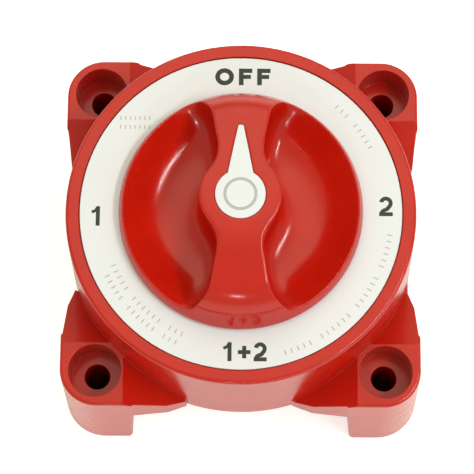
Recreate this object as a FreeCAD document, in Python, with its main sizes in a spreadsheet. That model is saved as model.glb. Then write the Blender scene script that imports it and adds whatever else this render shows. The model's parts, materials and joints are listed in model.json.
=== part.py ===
"""Marine battery selector switch: OFF, 1, 1+2 and 2, with a turning knob over a four-legged housing.

The origin is at the centre of the mounting plane, under the feet. +Z points out of the dial,
+Y towards OFF and +X towards 2. All sizes are in millimetres and come from the sheet "Dims".
"""
import FreeCAD, Part

import math
import os

import Sketcher

V = FreeCAD.Vector
DOC = FreeCAD.newDocument("battery_switch")

DIMENSIONS = {
    # housing: feet, lugs and webs
    "foot_half": 49.15, "lug_half": 47.5, "lug_top": 41.2,
    "foot_inner": 30.3, "lug_inner": 27.6, "foot_corner": 11.2, "lug_corner": 9.8,
    "leg_inner_corner": 1.2, "web_half": 47.4, "web_bottom": 26.4, "web_low": 31.9,
    "web_near": 15.0, "web_far": 30.8, "web_mid": 19.5, "web_mid_half": 46.2, "web_near_half": 44.6,
    "wall_draft": 2.25, "lug_edge_round": 0.7,
    "bolt_half_pitch": 38.25, "bolt_hole": 6.8, "bolt_head": 14.0, "bolt_head_depth": 9.85,
    # housing: drum, label shelf and well
    "drum_low_radius": 46.6, "drum_top_radius": 45.3, "ring_top": 61.2, "ring_round": 0.9,
    "shelf_radius": 41.87, "shelf_top": 60.1, "well_radius": 27.6, "well_floor": 55.5,
    "well_under": 53.0, "well_wall_out": 30.2, "shelf_under": 57.1,
    "bush_seat": 8.0, "boss_radius": 11.5, "boss_bottom": 48.5,
    "cavity_radius": 42.6, "gasket_step": 40.8, "gasket_top": 30.5, "cavity_top_radius": 40.4,
    "post_radius": 4.4, "post_pitch": 26.3, "post_hole": 2.6, "post_hole_top": 43.0,
    "spring_post": 3.2, "spring_post_x": 19.5, "spring_post_y": 19.0, "spring_post_bottom": 41.8,
    "spring_slot": 0.45, "spring_slot_top": 46.4,
    # dial plate
    "dial_outer": 41.6, "dial_inner": 28.6, "dial_top": 61.1, "dial_edge": 0.15,
    # knob
    "knob_bottom": 56.5, "knob_plug": 23.2, "knob_neck": 28.2,
    "rim_under": 61.5, "rim_radius": 31.5, "rim_top": 62.5, "wall_mid_radius": 28.5,
    "wall_mid": 70.8, "wall_round": 14.0, "knob_edge": 74.9, "knob_top_radius": 24.4,
    "knob_top_round": 8.0, "knob_top": 77.5, "crown_place": 11.0, "crown_round": 85.0,
    "rim_lower_round": 0.3, "rim_upper_round": 0.4,
    "bulge_radius": 10.5, "waist_radius": 8.78, "waist_place": 12.5, "flare_angle": 10.5,
    "scoop_reach": 30.4, "scoop_corner": 5.8, "scoop_floor": 58.5, "scoop_taper": 3.0,
    "bowl_foot": 22.5, "bowl_round": 9.0, "bowl_reach": 32.5, "bowl_rim": 67.2,
    "scoop_round": 4.2, "tool_top": 78.5,
    "screw_well": 5.7, "screw_seat": 69.5, "screw_way": 2.7,
    "socket_half": 4.25, "socket_top": 65.05,
    "core_half": 3.4, "core_near": 9.5, "core_far": 21.5, "core_top": 73.5,
    # pointer insert
    "pointer_seat": 74.8, "pointer_under": 74.9, "pointer_disc": 6.32, "pointer_root": 3.2,
    "pointer_root_place": 5.45, "pointer_tip": 0.62,
    "pointer_length": 18.5, "pointer_gap": 0.14, "tip_round": 0.55,
    # shaft and the pieces on it
    "shaft_bottom": 27.9, "pivot_radius": 3.0, "pivot_top": 33.5, "square_half": 4.2,
    "shoulder_bottom": 46.4, "shoulder_top": 47.9, "shoulder_radius": 9.0,
    "journal_radius": 6.0, "journal_top": 56.4, "shaft_top": 65.0,
    "tap_radius": 2.5, "tap_bottom": 53.0, "knob_screw_radius": 2.45, "knob_screw_end": 55.0,
    "knob_screw_head": 4.3, "knob_screw_head_top": 74.2, "knob_washer_radius": 5.4,
    "knob_washer_top": 70.5, "drive_slot": 0.6, "drive_slot_half": 2.4, "drive_depth": 1.4,
    "screw_head_round": 1.2,
    "bush_bore": 6.05, "bush_flange": 9.4, "bush_top": 56.3, "seal_seat": 7.72, "seal_seat_bottom": 54.5,
    "seal_ring": 6.88, "seal_cord": 0.8, "seal_place": 55.35,
    "thrust_inner": 6.15, "thrust_outer": 11.0, "thrust_bottom": 47.95,
    # detent
    "cam_bottom": 42.0, "cam_radius": 14.2, "cam_notch": 2.6, "cam_notch_place": 15.0,
    "hub_half": 4.22, "spring_bottom": 42.2, "spring_top": 46.2, "spring_half": 0.4,
    "spring_end": 22.0, "spring_line": 19.5, "nose_start": 6.0, "nose_end": 1.9, "nose_reach": 13.6,
    # moving contact and its carrier
    "carrier_bottom": 36.0, "carrier_top": 41.0, "carrier_hub": 13.0, "carrier_reach": 26.0,
    "sector_half_angle": 60.0, "spring_pocket": 3.5, "spring_pocket_top": 40.0,
    "spring_place": 19.5, "spring_turn": 34.0, "bridge_bottom": 33.5, "bridge_reach": 25.6,
    "bridge_hub": 11.5, "coil_radius": 2.5, "coil_wire": 0.45, "coil_pitch": 1.25,
    # base plate, contacts and terminals
    "base_bottom": 26.4, "base_top": 30.0, "base_radius": 42.3, "pivot_hole": 3.06,
    "gasket_outer": 42.4, "gasket_inner": 40.9, "contact_top": 32.4, "contact_half": 6.5,
    "button_radius": 4.0, "button_top": 33.4, "button_place": 22.0, "button_turn": 45.0,
    "common_ring_inner": 4.6, "common_ring_outer": 8.2, "common_way": 3.4,
    "stud_place": 31.0, "stud_radius": 4.76, "stud_end": 4.2, "stud_chamfer": 0.7,
    "stud_free_top": 14.15, "stud_core": 4.4, "nut_thread": 4.45,
    "stud_head": 6.95, "stud_head_seat": 7.0, "stud_head_bottom": 27.4, "stud_way": 4.85,
    "flat_washer_radius": 9.5, "flat_washer_bottom": 24.6, "lock_washer_radius": 8.2,
    "lock_washer_bottom": 22.4, "nut_half": 7.95, "nut_bottom": 14.2, "nut_chamfer": 0.8,
    "barrier_half": 1.1, "barrier_bottom": 12.0, "barrier_place": 16.5, "barrier_near": 3.0,
    "barrier_far": 37.5,
    "screw_head": 3.7, "screw_head_pocket": 4.0, "screw_head_bottom": 26.7, "screw_head_top": 28.6,
    "screw_shank": 1.75, "screw_hole": 2.1, "screw_end": 41.0, "insert_bottom": 30.6,
    "insert_top": 40.0, "insert_bore": 1.8, "base_head_round": 0.5, "base_slot_half": 2.2,
    "base_slot": 0.45,
    # how far a cut runs past the face it opens, and small play left between pieces
    "overrun": 1.0, "post_overlap": 0.5, "coil_gap": 0.03, "pivot_clear": 0.1,
}

SHEET = DOC.addObject("Spreadsheet::Sheet", "Dims")
for row, (alias, number) in enumerate(DIMENSIONS.items(), start=1):
    SHEET.set(f"A{row}", alias)
    SHEET.set(f"B{row}", str(number))
    SHEET.setAlias(f"B{row}", alias)
DOC.recompute()

QUARTER = 90.0
HALF_TURN = 180.0
KNOB_SEAM = 30.0
# a hexagon's width across its corners for each unit across its flats
HEXAGON = 1.1547
# edges are told apart to within this many millimetres
CLOSE = 0.01
SUBPARTS = []


# ---------------------------------------------------------------- expressions and sketches

def value(text):
    """The number that a sum or product such as "2 * wall + gap" comes to."""
    total = 0.0
    for term in str(text).replace(" - ", " + -1 * ").split(" + "):
        product = 1.0
        for factor in term.split(" * "):
            product *= DIMENSIONS[factor] if factor in DIMENSIONS else float(factor)
        total += product
    return total


def bind(thing, prop, text):
    """Binds a property to the sheet, so that it follows the driving dimensions."""
    words = [f"Dims.{word}" if word in DIMENSIONS else word for word in str(text).split(" ")]
    thing.setExpression(prop, " ".join(words))


def constrain(sketch, kind, places, text):
    """A dimension of the sketch, bound to the sheet."""
    index = sketch.addConstraint(Sketcher.Constraint(kind, *places, value(text)))
    bind(sketch, f"Constraints[{index}]", text)


def origin_feature(body, role):
    return next(f for f in body.Origin.OriginFeatures if f.Role == role)


def new_body(label):
    body = DOC.addObject("PartDesign::Body", label)
    body.Label = label
    SUBPARTS.append(body)
    return body


def new_sketch(body, name, height=None, plane="XY_Plane"):
    """An empty sketch on one of the body's origin planes, raised to a height of the sheet."""
    sketch = body.newObject("Sketcher::SketchObject", name)
    sketch.AttachmentSupport = [(origin_feature(body, plane), "")]
    sketch.MapMode = "FlatFace"
    if height is not None:
        bind(sketch, "AttachmentOffset.Base.z", height)
    return sketch


def place_point(sketch, geometry, position, x, y):
    """Fixes a point of the sketch at (x, y), both bound to the sheet."""
    for kind, text, axis in (("DistanceX", x, -2), ("DistanceY", y, -1)):
        if value(text) == 0:
            sketch.addConstraint(Sketcher.Constraint("PointOnObject", geometry, position, axis))
        else:
            constrain(sketch, kind, (-1, 1, geometry, position), text)


def circle(sketch, radius, x="0", y="0"):
    shape = Part.Circle(V(value(x), value(y), 0), V(0, 0, 1), value(radius))
    index = sketch.addGeometry(shape)
    constrain(sketch, "Radius", (index,), radius)
    if value(x) == 0 and value(y) == 0:
        sketch.addConstraint(Sketcher.Constraint("Coincident", index, 3, -1, 1))
    else:
        place_point(sketch, index, 3, x, y)


def corner_arc(before, corner, after, radius):
    """Where a rounded corner starts and ends, and its arc, which runs counter-clockwise."""
    to_before = (before - corner).normalize()
    to_after = (after - corner).normalize()
    half = to_before.getAngle(to_after) / 2
    start = corner + to_before * (radius / math.tan(half))
    end = corner + to_after * (radius / math.tan(half))
    centre = corner + (to_before + to_after).normalize() * (radius / math.sin(half))
    turns_left = to_after.cross(to_before).z > 0
    first, last = (start, end) if turns_left else (end, start)
    angles = [math.atan2(p.y - centre.y, p.x - centre.x) for p in (first, last)]
    arc = Part.ArcOfCircle(Part.Circle(centre, V(0, 0, 1), radius), *angles)
    return start, end, arc, (1, 2) if turns_left else (2, 1)


def outline(sketch, corners):
    """A closed outline of straight sides through (x, y) or (x, y, corner radius) corners."""
    points = [V(value(c[0]), value(c[1]), 0) for c in corners]
    count = len(corners)
    starts, ends, arcs = list(points), list(points), {}
    for i, corner in enumerate(corners):
        if len(corner) == 3:
            before, after = points[i - 1], points[(i + 1) % count]
            starts[i], ends[i], arc, sides = corner_arc(before, points[i], after, value(corner[2]))
            arcs[i] = (sketch.addGeometry(arc), sides)
    lines = [
        sketch.addGeometry(Part.LineSegment(ends[i], starts[(i + 1) % count]))
        for i in range(count)
    ]
    for i, corner in enumerate(corners):
        into, out = lines[i - 1], lines[i]
        if i not in arcs:
            sketch.addConstraint(Sketcher.Constraint("Coincident", into, 2, out, 1))
            place_point(sketch, out, 1, corner[0], corner[1])
            continue
        arc, (first, last) = arcs[i]
        sketch.addConstraint(Sketcher.Constraint("Tangent", into, 2, arc, first))
        sketch.addConstraint(Sketcher.Constraint("Tangent", arc, last, out, 1))
        constrain(sketch, "Radius", (arc,), corner[2])
        mark = sketch.addGeometry(Part.Point(points[i]), True)
        sketch.addConstraint(Sketcher.Constraint("PointOnObject", mark, 1, into))
        sketch.addConstraint(Sketcher.Constraint("PointOnObject", mark, 1, out))
        place_point(sketch, mark, 1, corner[0], corner[1])


def rectangle(sketch, left, bottom, right, top):
    outline(sketch, [(left, bottom), (right, bottom), (right, top), (left, top)])


def negative(text):
    return f"-1 * {text}"


# ---------------------------------------------------------------- features

def feature(body, kind, name, sketch):
    made = body.newObject(f"PartDesign::{kind}", name)
    made.Profile = sketch
    return made


def pad(body, name, sketch, length, taper=None, down=False):
    made = feature(body, "Pad", name, sketch)
    bind(made, "Length", length)
    if taper is not None:
        bind(made, "TaperAngle", taper)
    made.Reversed = down
    return made


def pocket(body, name, sketch, depth, taper=None, up=False):
    """A cut into the solid, downwards from its sketch, or upwards."""
    made = feature(body, "Pocket", name, sketch)
    bind(made, "Length", depth)
    if taper is not None:
        bind(made, "TaperAngle", taper)
    made.Reversed = up
    return made


def turned(body, name, kind, corners, seam=0):
    """A Revolution or Groove about the body's Z axis of a profile given as (radius, height).

    The seam angle turns the profile's plane, which keeps the seam clear of later cuts.
    """
    sketch = new_sketch(body, f"{name}_profile", plane="XZ_Plane")
    sketch.AttachmentOffset = FreeCAD.Placement(V(0, 0, 0), FreeCAD.Rotation(V(0, 1, 0), seam))
    outline(sketch, corners)
    made = feature(body, kind, name, sketch)
    made.ReferenceAxis = (sketch, ["V_Axis"])
    made.Angle = 360
    return made


def around(body, name, base, count):
    """Repeats a feature evenly about the body's Z axis."""
    made = body.newObject("PartDesign::PolarPattern", name)
    made.Originals = [base]
    made.Axis = (origin_feature(body, "Z_Axis"), [""])
    made.Angle = 360
    made.Occurrences = count
    body.Tip = made
    return made


def dress(body, name, kind, edges, size):
    """A Fillet or Chamfer on the edges of the tip that a test picks."""
    DOC.recompute()
    base = body.Tip
    picked = [f"Edge{i}" for i, e in enumerate(base.Shape.Edges, start=1) if edges(e)]
    made = body.newObject(f"PartDesign::{kind}", name)
    made.Base = (base, picked)
    bind(made, "Radius" if kind == "Fillet" else "Size", size)
    body.Tip = made
    return made


def level(edge, height):
    box = edge.BoundBox
    return abs(box.ZMin - height) < CLOSE and abs(box.ZMax - height) < CLOSE


def is_circle(edge, radius):
    curve = edge.Curve
    return isinstance(curve, Part.Circle) and abs(curve.Radius - radius) < CLOSE


# ---------------------------------------------------------------- plain turned and cut pieces

def tube(label, outer, inner, bottom, top, x="0", y="0"):
    """A plain ring: one cylinder cut from another."""
    blank = DOC.addObject("Part::Cylinder", f"{label}_blank")
    bore = DOC.addObject("Part::Cylinder", f"{label}_bore")
    for cylinder, radius in ((blank, outer), (bore, inner)):
        bind(cylinder, "Radius", radius)
        bind(cylinder, "Height", f"{top} - {bottom}")
        bind(cylinder, "Placement.Base.x", x)
        bind(cylinder, "Placement.Base.y", y)
        bind(cylinder, "Placement.Base.z", bottom)
    ring = DOC.addObject("Part::Cut", label)
    ring.Base = blank
    ring.Tool = bore
    ring.Label = label
    SUBPARTS.append(ring)
    return ring


def grouped(label, pieces):
    """Identical fasteners kept together as one node of separate solids."""
    group = DOC.addObject("Part::Compound", label)
    group.Links = pieces
    group.Label = label
    for piece in pieces:
        SUBPARTS.remove(piece)
    SUBPARTS.append(group)
    return group


# ---------------------------------------------------------------- front housing

def corner_outline(sketch, inner, outer, outer_corner):
    """The square section of a leg at +X +Y, rounded most at the switch's own corner."""
    outline(sketch, [
        (inner, inner, "leg_inner_corner"), (outer, inner, "leg_inner_corner"),
        (outer, outer, outer_corner), (inner, outer, "leg_inner_corner"),
    ])


def web_plate(body):
    """The plate between the lugs, whose top falls from each lug to the drum as a thin web."""
    right = [
        ("web_near", "web_near_half"), ("web_mid", "web_mid_half"), ("web_far", "web_half"),
        ("web_half", "web_far"), ("web_mid_half", "web_mid"), ("web_near_half", "web_near"),
    ]
    left = [(negative(x), y) for x, y in reversed(right)]
    corners = right[::-1] + left
    corners += [(x, negative(y)) for x, y in reversed(corners)]
    sketch = new_sketch(body, "web_plan", "lug_top")
    outline(sketch, corners)
    pad(body, "web_plate", sketch, "lug_top - web_bottom", taper="wall_draft", down=True)


def web_slopes(body):
    """The falling tops of the webs, cut through the plate and the legs' inner sides."""
    slope = new_sketch(body, "web_slope", plane="XZ_Plane")
    outline(slope, [
        (negative("web_far"), "lug_top"), (negative("web_near"), "web_low"),
        ("web_near", "web_low"), ("web_far", "lug_top"), ("web_far", "lug_top + overrun"),
        (negative("web_far"), "lug_top + overrun"),
    ])
    cut = pocket(body, "web_slopes", slope, "foot_half + overrun")
    around(body, "web_slopes_all", cut, 4)


def legs(body):
    foot = new_sketch(body, "foot_plan")
    corner_outline(foot, "foot_inner", "foot_half", "foot_corner")
    lug = new_sketch(body, "lug_plan", "lug_top")
    corner_outline(lug, "lug_inner", "lug_half", "lug_corner")
    leg = feature(body, "AdditiveLoft", "leg", foot)
    leg.Sections = [lug]
    leg.Ruled = True
    around(body, "legs", leg, 4)


def drum(body):
    turned(body, "drum", "Revolution", [
        ("0", "web_bottom"), ("drum_low_radius", "web_bottom"),
        ("drum_top_radius", "ring_top", "ring_round"), ("0", "ring_top"),
    ])
    turned(body, "dial_recess", "Groove", [
        ("0", "shelf_top"), ("shelf_radius", "shelf_top"), ("shelf_radius", "ring_top + overrun"),
        ("0", "ring_top + overrun"),
    ])
    turned(body, "well", "Groove", [
        ("0", "well_floor"), ("well_radius", "well_floor", "ring_round"),
        ("well_radius", "ring_top"), ("0", "ring_top"),
    ])
    turned(body, "cavity", "Groove", [
        ("0", "-1 * overrun"), ("cavity_radius", "-1 * overrun"), ("cavity_radius", "gasket_top"),
        ("gasket_step", "gasket_top"), ("cavity_top_radius", "shelf_under"),
        ("well_wall_out", "shelf_under"), ("well_wall_out", "well_under"),
        ("boss_radius", "well_under"), ("boss_radius", "boss_bottom"), ("0", "boss_bottom"),
    ])
    bore = new_sketch(body, "bush_bore", "well_floor")
    circle(bore, "bush_seat")
    pocket(body, "bush_way", bore, "well_floor - boss_bottom + overrun")


def posts(body):
    """Posts that take the base screws, and slotted posts that hold the detent springs."""
    rounds = new_sketch(body, "screw_post_plan", "gasket_top")
    circle(rounds, "post_radius", "post_pitch", "post_pitch")
    post = pad(body, "screw_post", rounds, "shelf_under - gasket_top")
    around(body, "screw_posts", post, 4)
    squares = new_sketch(body, "spring_post_plan", "spring_post_bottom")
    for side_x in ("", "-1 * "):
        for side_y in ("", "-1 * "):
            x, y = side_x + "spring_post_x", side_y + "spring_post_y"
            rectangle(squares, f"{x} - spring_post", f"{y} - spring_post",
                      f"{x} + spring_post", f"{y} + spring_post")
    pad(body, "spring_posts", squares, "well_under - spring_post_bottom + post_overlap")
    holes = new_sketch(body, "screw_post_bore", "gasket_top")
    circle(holes, "post_hole", "post_pitch", "post_pitch")
    hole = pocket(body, "screw_post_hole", holes, "post_hole_top - gasket_top", up=True)
    around(body, "screw_post_holes", hole, 4)
    slots = new_sketch(body, "spring_slot_plan", "spring_post_bottom - 1")
    for side in ("", "-1 * "):
        x = side + "spring_line"
        rectangle(slots, f"{x} - spring_slot", "-1 * spring_post_y - 2 * spring_post",
                  f"{x} + spring_slot", "spring_post_y + 2 * spring_post")
    pocket(body, "spring_slots", slots, "spring_slot_top - spring_post_bottom + overrun", up=True)


def mounting_holes(body):
    for name, diameter, depth in (
        ("bolt_holes", "bolt_hole", "lug_top + overrun"),
        ("bolt_heads", "bolt_head", "bolt_head_depth"),
    ):
        plan = new_sketch(body, f"{name}_plan", "lug_top")
        circle(plan, f"0.5 * {diameter}", "bolt_half_pitch", "bolt_half_pitch")
        around(body, f"{name}_all", pocket(body, name, plan, depth), 4)


def front_housing():
    body = new_body("front_housing")
    web_plate(body)
    legs(body)
    web_slopes(body)
    drum(body)
    posts(body)
    mounting_holes(body)

    def lug_rim(edge):
        box = edge.BoundBox
        outer = max(abs(box.Center.x), abs(box.Center.y)) > value("lug_half - lug_corner * 0.5")
        return level(edge, value("lug_top")) and outer and not is_circle(edge, value("0.5 * bolt_head"))

    dress(body, "lug_edges", "Fillet", lug_rim, "lug_edge_round")


def dial_plate():
    body = new_body("dial_plate")
    turned(body, "plate", "Revolution", [
        ("dial_inner", "shelf_top"), ("dial_outer", "shelf_top"),
        ("dial_outer", "dial_top", "dial_edge"), ("dial_inner", "dial_top"),
    ])


# ---------------------------------------------------------------- knob and pointer

def tangent_chain(sketch, chain):
    """Joins arcs and lines end to end, each running smoothly into the next."""
    for (geometry, _, end), (following, start, _) in zip(chain, chain[1:] + chain[:1]):
        sketch.addConstraint(Sketcher.Constraint("Tangent", geometry, end, following, start))


def arc_between(sketch, centre, radius, start, end):
    """An arc from one angle counter-clockwise to another, in degrees."""
    shape = Part.ArcOfCircle(
        Part.Circle(centre, V(0, 0, 1), radius), math.radians(start), math.radians(end)
    )
    return sketch.addGeometry(shape)


def scoop_plan(sketch):
    """One finger scoop: the bar's waisted side, two rounded ends and the outer sweep."""
    bulge, waist, place = value("bulge_radius"), value("waist_radius"), value("waist_place")
    reach, corner, flare = value("scoop_reach"), value("scoop_corner"), value("flare_angle")
    waist_x = math.sqrt((bulge + waist) ** 2 - place ** 2)
    meet = math.degrees(math.atan2(place, waist_x))
    slope = math.radians(flare)
    leave = V(waist_x - waist * math.cos(slope), place + waist * math.sin(slope), 0)
    # the end's centre is a corner radius clear of the flared side and of the outer sweep
    along, aside = V(math.sin(slope), math.cos(slope), 0), V(math.cos(slope), -math.sin(slope), 0)
    foot = leave + aside * corner
    drop = foot.dot(along)
    run = -drop + math.sqrt(drop ** 2 - foot.dot(foot) + (reach - corner) ** 2)
    end_centre = foot + along * run
    touch = math.degrees(math.atan2(end_centre.y, end_centre.x))
    far = leave + along * run

    def mirror(point):
        return V(point.x, -point.y, 0)

    outer = arc_between(sketch, V(0, 0, 0), reach, -touch, touch)
    upper_end = arc_between(sketch, end_centre, corner, touch, 180 - flare)
    upper_side = sketch.addGeometry(Part.LineSegment(far, leave))
    upper_waist = arc_between(sketch, V(waist_x, place, 0), waist, 180 - flare, 180 + meet)
    centre = arc_between(sketch, V(0, 0, 0), bulge, -meet, meet)
    lower_waist = arc_between(sketch, V(waist_x, -place, 0), waist, 180 - meet, 180 + flare)
    lower_side = sketch.addGeometry(Part.LineSegment(mirror(leave), mirror(far)))
    lower_end = arc_between(sketch, mirror(end_centre), corner, 180 + flare, -touch)
    tangent_chain(sketch, [
        (outer, 1, 2), (upper_end, 1, 2), (upper_side, 1, 2), (upper_waist, 1, 2),
        (centre, 2, 1), (lower_waist, 1, 2), (lower_side, 1, 2), (lower_end, 1, 2),
    ])
    for arc in (outer, centre):
        sketch.addConstraint(Sketcher.Constraint("Coincident", arc, 3, -1, 1))
    for arc, radius in (
        (outer, "scoop_reach"), (centre, "bulge_radius"), (upper_waist, "waist_radius"),
        (lower_waist, "waist_radius"), (upper_end, "scoop_corner"), (lower_end, "scoop_corner"),
    ):
        constrain(sketch, "Radius", (arc,), radius)
    constrain(sketch, "DistanceY", (-1, 1, upper_waist, 3), "waist_place")
    constrain(sketch, "DistanceY", (-1, 1, lower_waist, 3), negative("waist_place"))
    for side, sign in ((upper_side, -1), (lower_side, 1)):
        angle = math.radians(-90 + sign * flare)
        index = sketch.addConstraint(Sketcher.Constraint("Angle", side, angle))
        sketch.setExpression(f"Constraints[{index}]", f"-90 + {sign} * Dims.flare_angle")


def pointer_plan(sketch, grow="0"):
    """The disc on the axis; the needle is drawn apart and overlaps it."""
    circle(sketch, f"pointer_disc + {grow}")


def needle_plan(sketch, grow="0"):
    """The tapering needle towards +Y, with a rounded tip."""
    root, tip = f"pointer_root + {grow}", f"pointer_tip + {grow}"
    left_root, left_tip = f"-1 * pointer_root - {grow}", f"-1 * pointer_tip - {grow}"
    top = f"pointer_length + {grow}"
    outline(sketch, [
        (left_root, "0"), (root, "0"), (root, "pointer_root_place"),
        (tip, top, "tip_round"), (left_tip, top, "tip_round"), (left_root, "pointer_root_place"),
    ])


def knob_blank():
    """The knob before its finger scoops are cut: envelope, underside, seats and bores."""
    body = DOC.addObject("PartDesign::Body", "knob_blank")
    turned(body, "blank", "Revolution", [
        ("0", "knob_bottom"), ("knob_plug", "knob_bottom"), ("knob_neck", "rim_under"),
        ("rim_radius", "rim_under", "rim_lower_round"), ("rim_radius", "rim_top", "rim_upper_round"),
        ("wall_mid_radius", "wall_mid", "wall_round"),
        ("knob_top_radius", "knob_edge", "knob_top_round"),
        ("crown_place", "knob_top", "crown_round"), ("0", "knob_top"),
    ], KNOB_SEAM)
    for name, plan in (("pointer_seat", pointer_plan), ("needle_seat", needle_plan)):
        seat = new_sketch(body, f"{name}_plan", "knob_top")
        plan(seat, "pointer_gap")
        pocket(body, name, seat, "knob_top - pointer_seat")
    for name, radius, bottom in (
        ("screw_well", "screw_well", "screw_seat"), ("screw_way", "screw_way", "socket_top"),
    ):
        round_plan = new_sketch(body, f"{name}_plan", "knob_top")
        circle(round_plan, radius)
        pocket(body, f"{name}_cut", round_plan, f"knob_top - {bottom}")
    socket = new_sketch(body, "socket_plan", "knob_bottom")
    rectangle(socket, "-1 * socket_half", "-1 * socket_half", "socket_half", "socket_half")
    pocket(body, "socket", socket, "socket_top - knob_bottom", up=True)
    cores = new_sketch(body, "core_plan", "knob_bottom")
    rectangle(cores, "-1 * core_half", "core_near", "core_half", "core_far")
    rectangle(cores, "-1 * core_half", "-1 * core_far", "core_half", "-1 * core_near")
    pocket(body, "cores", cores, "core_top - knob_bottom", up=True)
    return body


def scoop_tool():
    """The space of one finger scoop: a bowl about the axis, trimmed to the scoop's plan."""
    body = DOC.addObject("PartDesign::Body", "scoop_tool")
    turned(body, "bowl", "Revolution", [
        ("0", "scoop_floor"), ("bowl_foot", "scoop_floor", "bowl_round"),
        ("bowl_reach", "bowl_rim"), ("bowl_reach", "tool_top"), ("0", "tool_top"),
    ])
    trim = new_sketch(body, "scoop_plan", "tool_top")
    circle(trim, "2 * rim_radius")
    scoop_plan(trim)
    pocket(body, "trim", trim, "knob_top - knob_bottom", taper="scoop_taper")
    floor, top = value("scoop_floor"), value("knob_top")

    def under_side(edge):
        """The edges where the scoop's side walls meet its bowl."""
        box = edge.BoundBox
        on_side = not is_circle(edge, value("bowl_foot")) and box.ZMax < top - 2
        return on_side and (level(edge, floor) or box.ZMax > floor + 2)

    dress(body, "scoop_edges", "Fillet", under_side, "scoop_round")
    return body


def knob():
    """The blank with a scoop cut each side, which leaves the waisted finger bar standing."""
    cut, tool, other = knob_blank(), scoop_tool(), scoop_tool()
    other.Placement = FreeCAD.Placement(V(0, 0, 0), FreeCAD.Rotation(V(0, 0, 1), HALF_TURN))
    for name, scoop in (("half_scooped_knob", tool), ("knob", other)):
        following = DOC.addObject("Part::Cut", name)
        following.Base = cut
        following.Tool = scoop
        cut = following
    cut.Label = "knob"
    SUBPARTS.append(cut)


def pointer_insert():
    body = new_body("pointer_insert")
    for name, plan in (("disc", pointer_plan), ("needle", needle_plan)):
        sketch = new_sketch(body, f"{name}_plan", "pointer_under")
        plan(sketch)
        pad(body, name, sketch, "knob_top - pointer_under")
    turned(body, "crown", "Groove", [
        ("0", "knob_top"), ("crown_place", "knob_top", "crown_round"),
        ("knob_top_radius", "knob_edge"), ("knob_top_radius", "tool_top"), ("0", "tool_top"),
    ])


# ---------------------------------------------------------------- shaft and its bearing

def knob_screw():
    body = new_body("knob_screw")
    turned(body, "turned_screw", "Revolution", [
        ("0", "knob_screw_end"), ("knob_screw_radius", "knob_screw_end"),
        ("knob_screw_radius", "knob_washer_top"), ("knob_screw_head", "knob_washer_top"),
        ("knob_screw_head", "knob_screw_head_top", "screw_head_round"), ("0", "knob_screw_head_top"),
    ])
    slot = new_sketch(body, "cross_plan", "knob_screw_head_top")
    rectangle(slot, "-1 * drive_slot_half", "-1 * drive_slot", "drive_slot_half", "drive_slot")
    around(body, "cross", pocket(body, "cross_slot", slot, "drive_depth"), 4)


def shaft():
    body = new_body("shaft")
    turned(body, "turned_shaft", "Revolution", [
        ("0", "shaft_bottom"), ("pivot_radius", "shaft_bottom"), ("pivot_radius", "shoulder_bottom"),
        ("shoulder_radius", "shoulder_bottom"), ("shoulder_radius", "shoulder_top"),
        ("journal_radius", "shoulder_top"), ("journal_radius", "journal_top"),
        ("0", "journal_top"),
    ])
    for name, bottom, top in (
        ("cam_square", "pivot_top", "shoulder_bottom"), ("knob_square", "journal_top", "shaft_top"),
    ):
        sketch = new_sketch(body, f"{name}_plan", bottom)
        rectangle(sketch, "-1 * square_half", "-1 * square_half", "square_half", "square_half")
        pad(body, name, sketch, f"{top} - {bottom}")
    tap = new_sketch(body, "tap_plan", "shaft_top")
    circle(tap, "tap_radius")
    pocket(body, "tapped_hole", tap, "shaft_top - tap_bottom")


def shaft_bush():
    body = new_body("shaft_bush")
    turned(body, "bush", "Revolution", [
        ("bush_bore", "boss_bottom"), ("bush_seat", "boss_bottom"), ("bush_seat", "well_floor"),
        ("bush_flange", "well_floor"), ("bush_flange", "bush_top"), ("seal_seat", "bush_top"),
        ("seal_seat", "seal_seat_bottom"), ("bush_bore", "seal_seat_bottom"),
    ])


def shaft_seal():
    ring = DOC.addObject("Part::Torus", "shaft_seal")
    bind(ring, "Radius1", "seal_ring")
    bind(ring, "Radius2", "seal_cord")
    bind(ring, "Placement.Base.z", "seal_place")
    ring.Label = "shaft_seal"
    SUBPARTS.append(ring)


# ---------------------------------------------------------------- detent

def square_hole(body, name, bottom, top):
    sketch = new_sketch(body, f"{name}_plan", top)
    rectangle(sketch, "-1 * hub_half", "-1 * hub_half", "hub_half", "hub_half")
    pocket(body, name, sketch, f"{top} - {bottom}")


def detent_cam():
    body = new_body("detent_cam")
    disc = new_sketch(body, "cam_plan", "cam_bottom")
    circle(disc, "cam_radius")
    pad(body, "cam_disc", disc, "shoulder_bottom - cam_bottom")
    notch = new_sketch(body, "notch_plan", "shoulder_bottom")
    circle(notch, "cam_notch", "cam_notch_place")
    around(body, "notches", pocket(body, "notch", notch, "shoulder_bottom - cam_bottom"), 4)
    square_hole(body, "hub_square", "cam_bottom", "shoulder_bottom")


def detent_spring(label, sign):
    """A leaf held at both ends, with a nose at its middle that drops into the cam's notch."""
    body = new_body(label)
    upper = [
        (f"{sign} * nose_reach", "nose_end"),
        (f"{sign} * spring_line - {sign} * spring_half", "nose_start"),
        (f"{sign} * spring_line - {sign} * spring_half", "spring_end"),
        (f"{sign} * spring_line + {sign} * spring_half", "spring_end"),
        (f"{sign} * spring_line + {sign} * spring_half", "nose_start"),
        (f"{sign} * nose_reach + {sign} * 2 * spring_half", "nose_end"),
    ]
    # the lower half mirrors the upper one, and the nose is flat across the middle
    inner, outer = upper[:3], upper[3:]
    lower_outer = [(x, negative(y)) for x, y in reversed(outer)]
    lower_inner = [(x, negative(y)) for x, y in reversed(inner)]
    sketch = new_sketch(body, "leaf_plan", "spring_bottom")
    outline(sketch, inner + outer + lower_outer + lower_inner)
    pad(body, "leaf", sketch, "spring_top - spring_bottom")


# ---------------------------------------------------------------- moving contact

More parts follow.
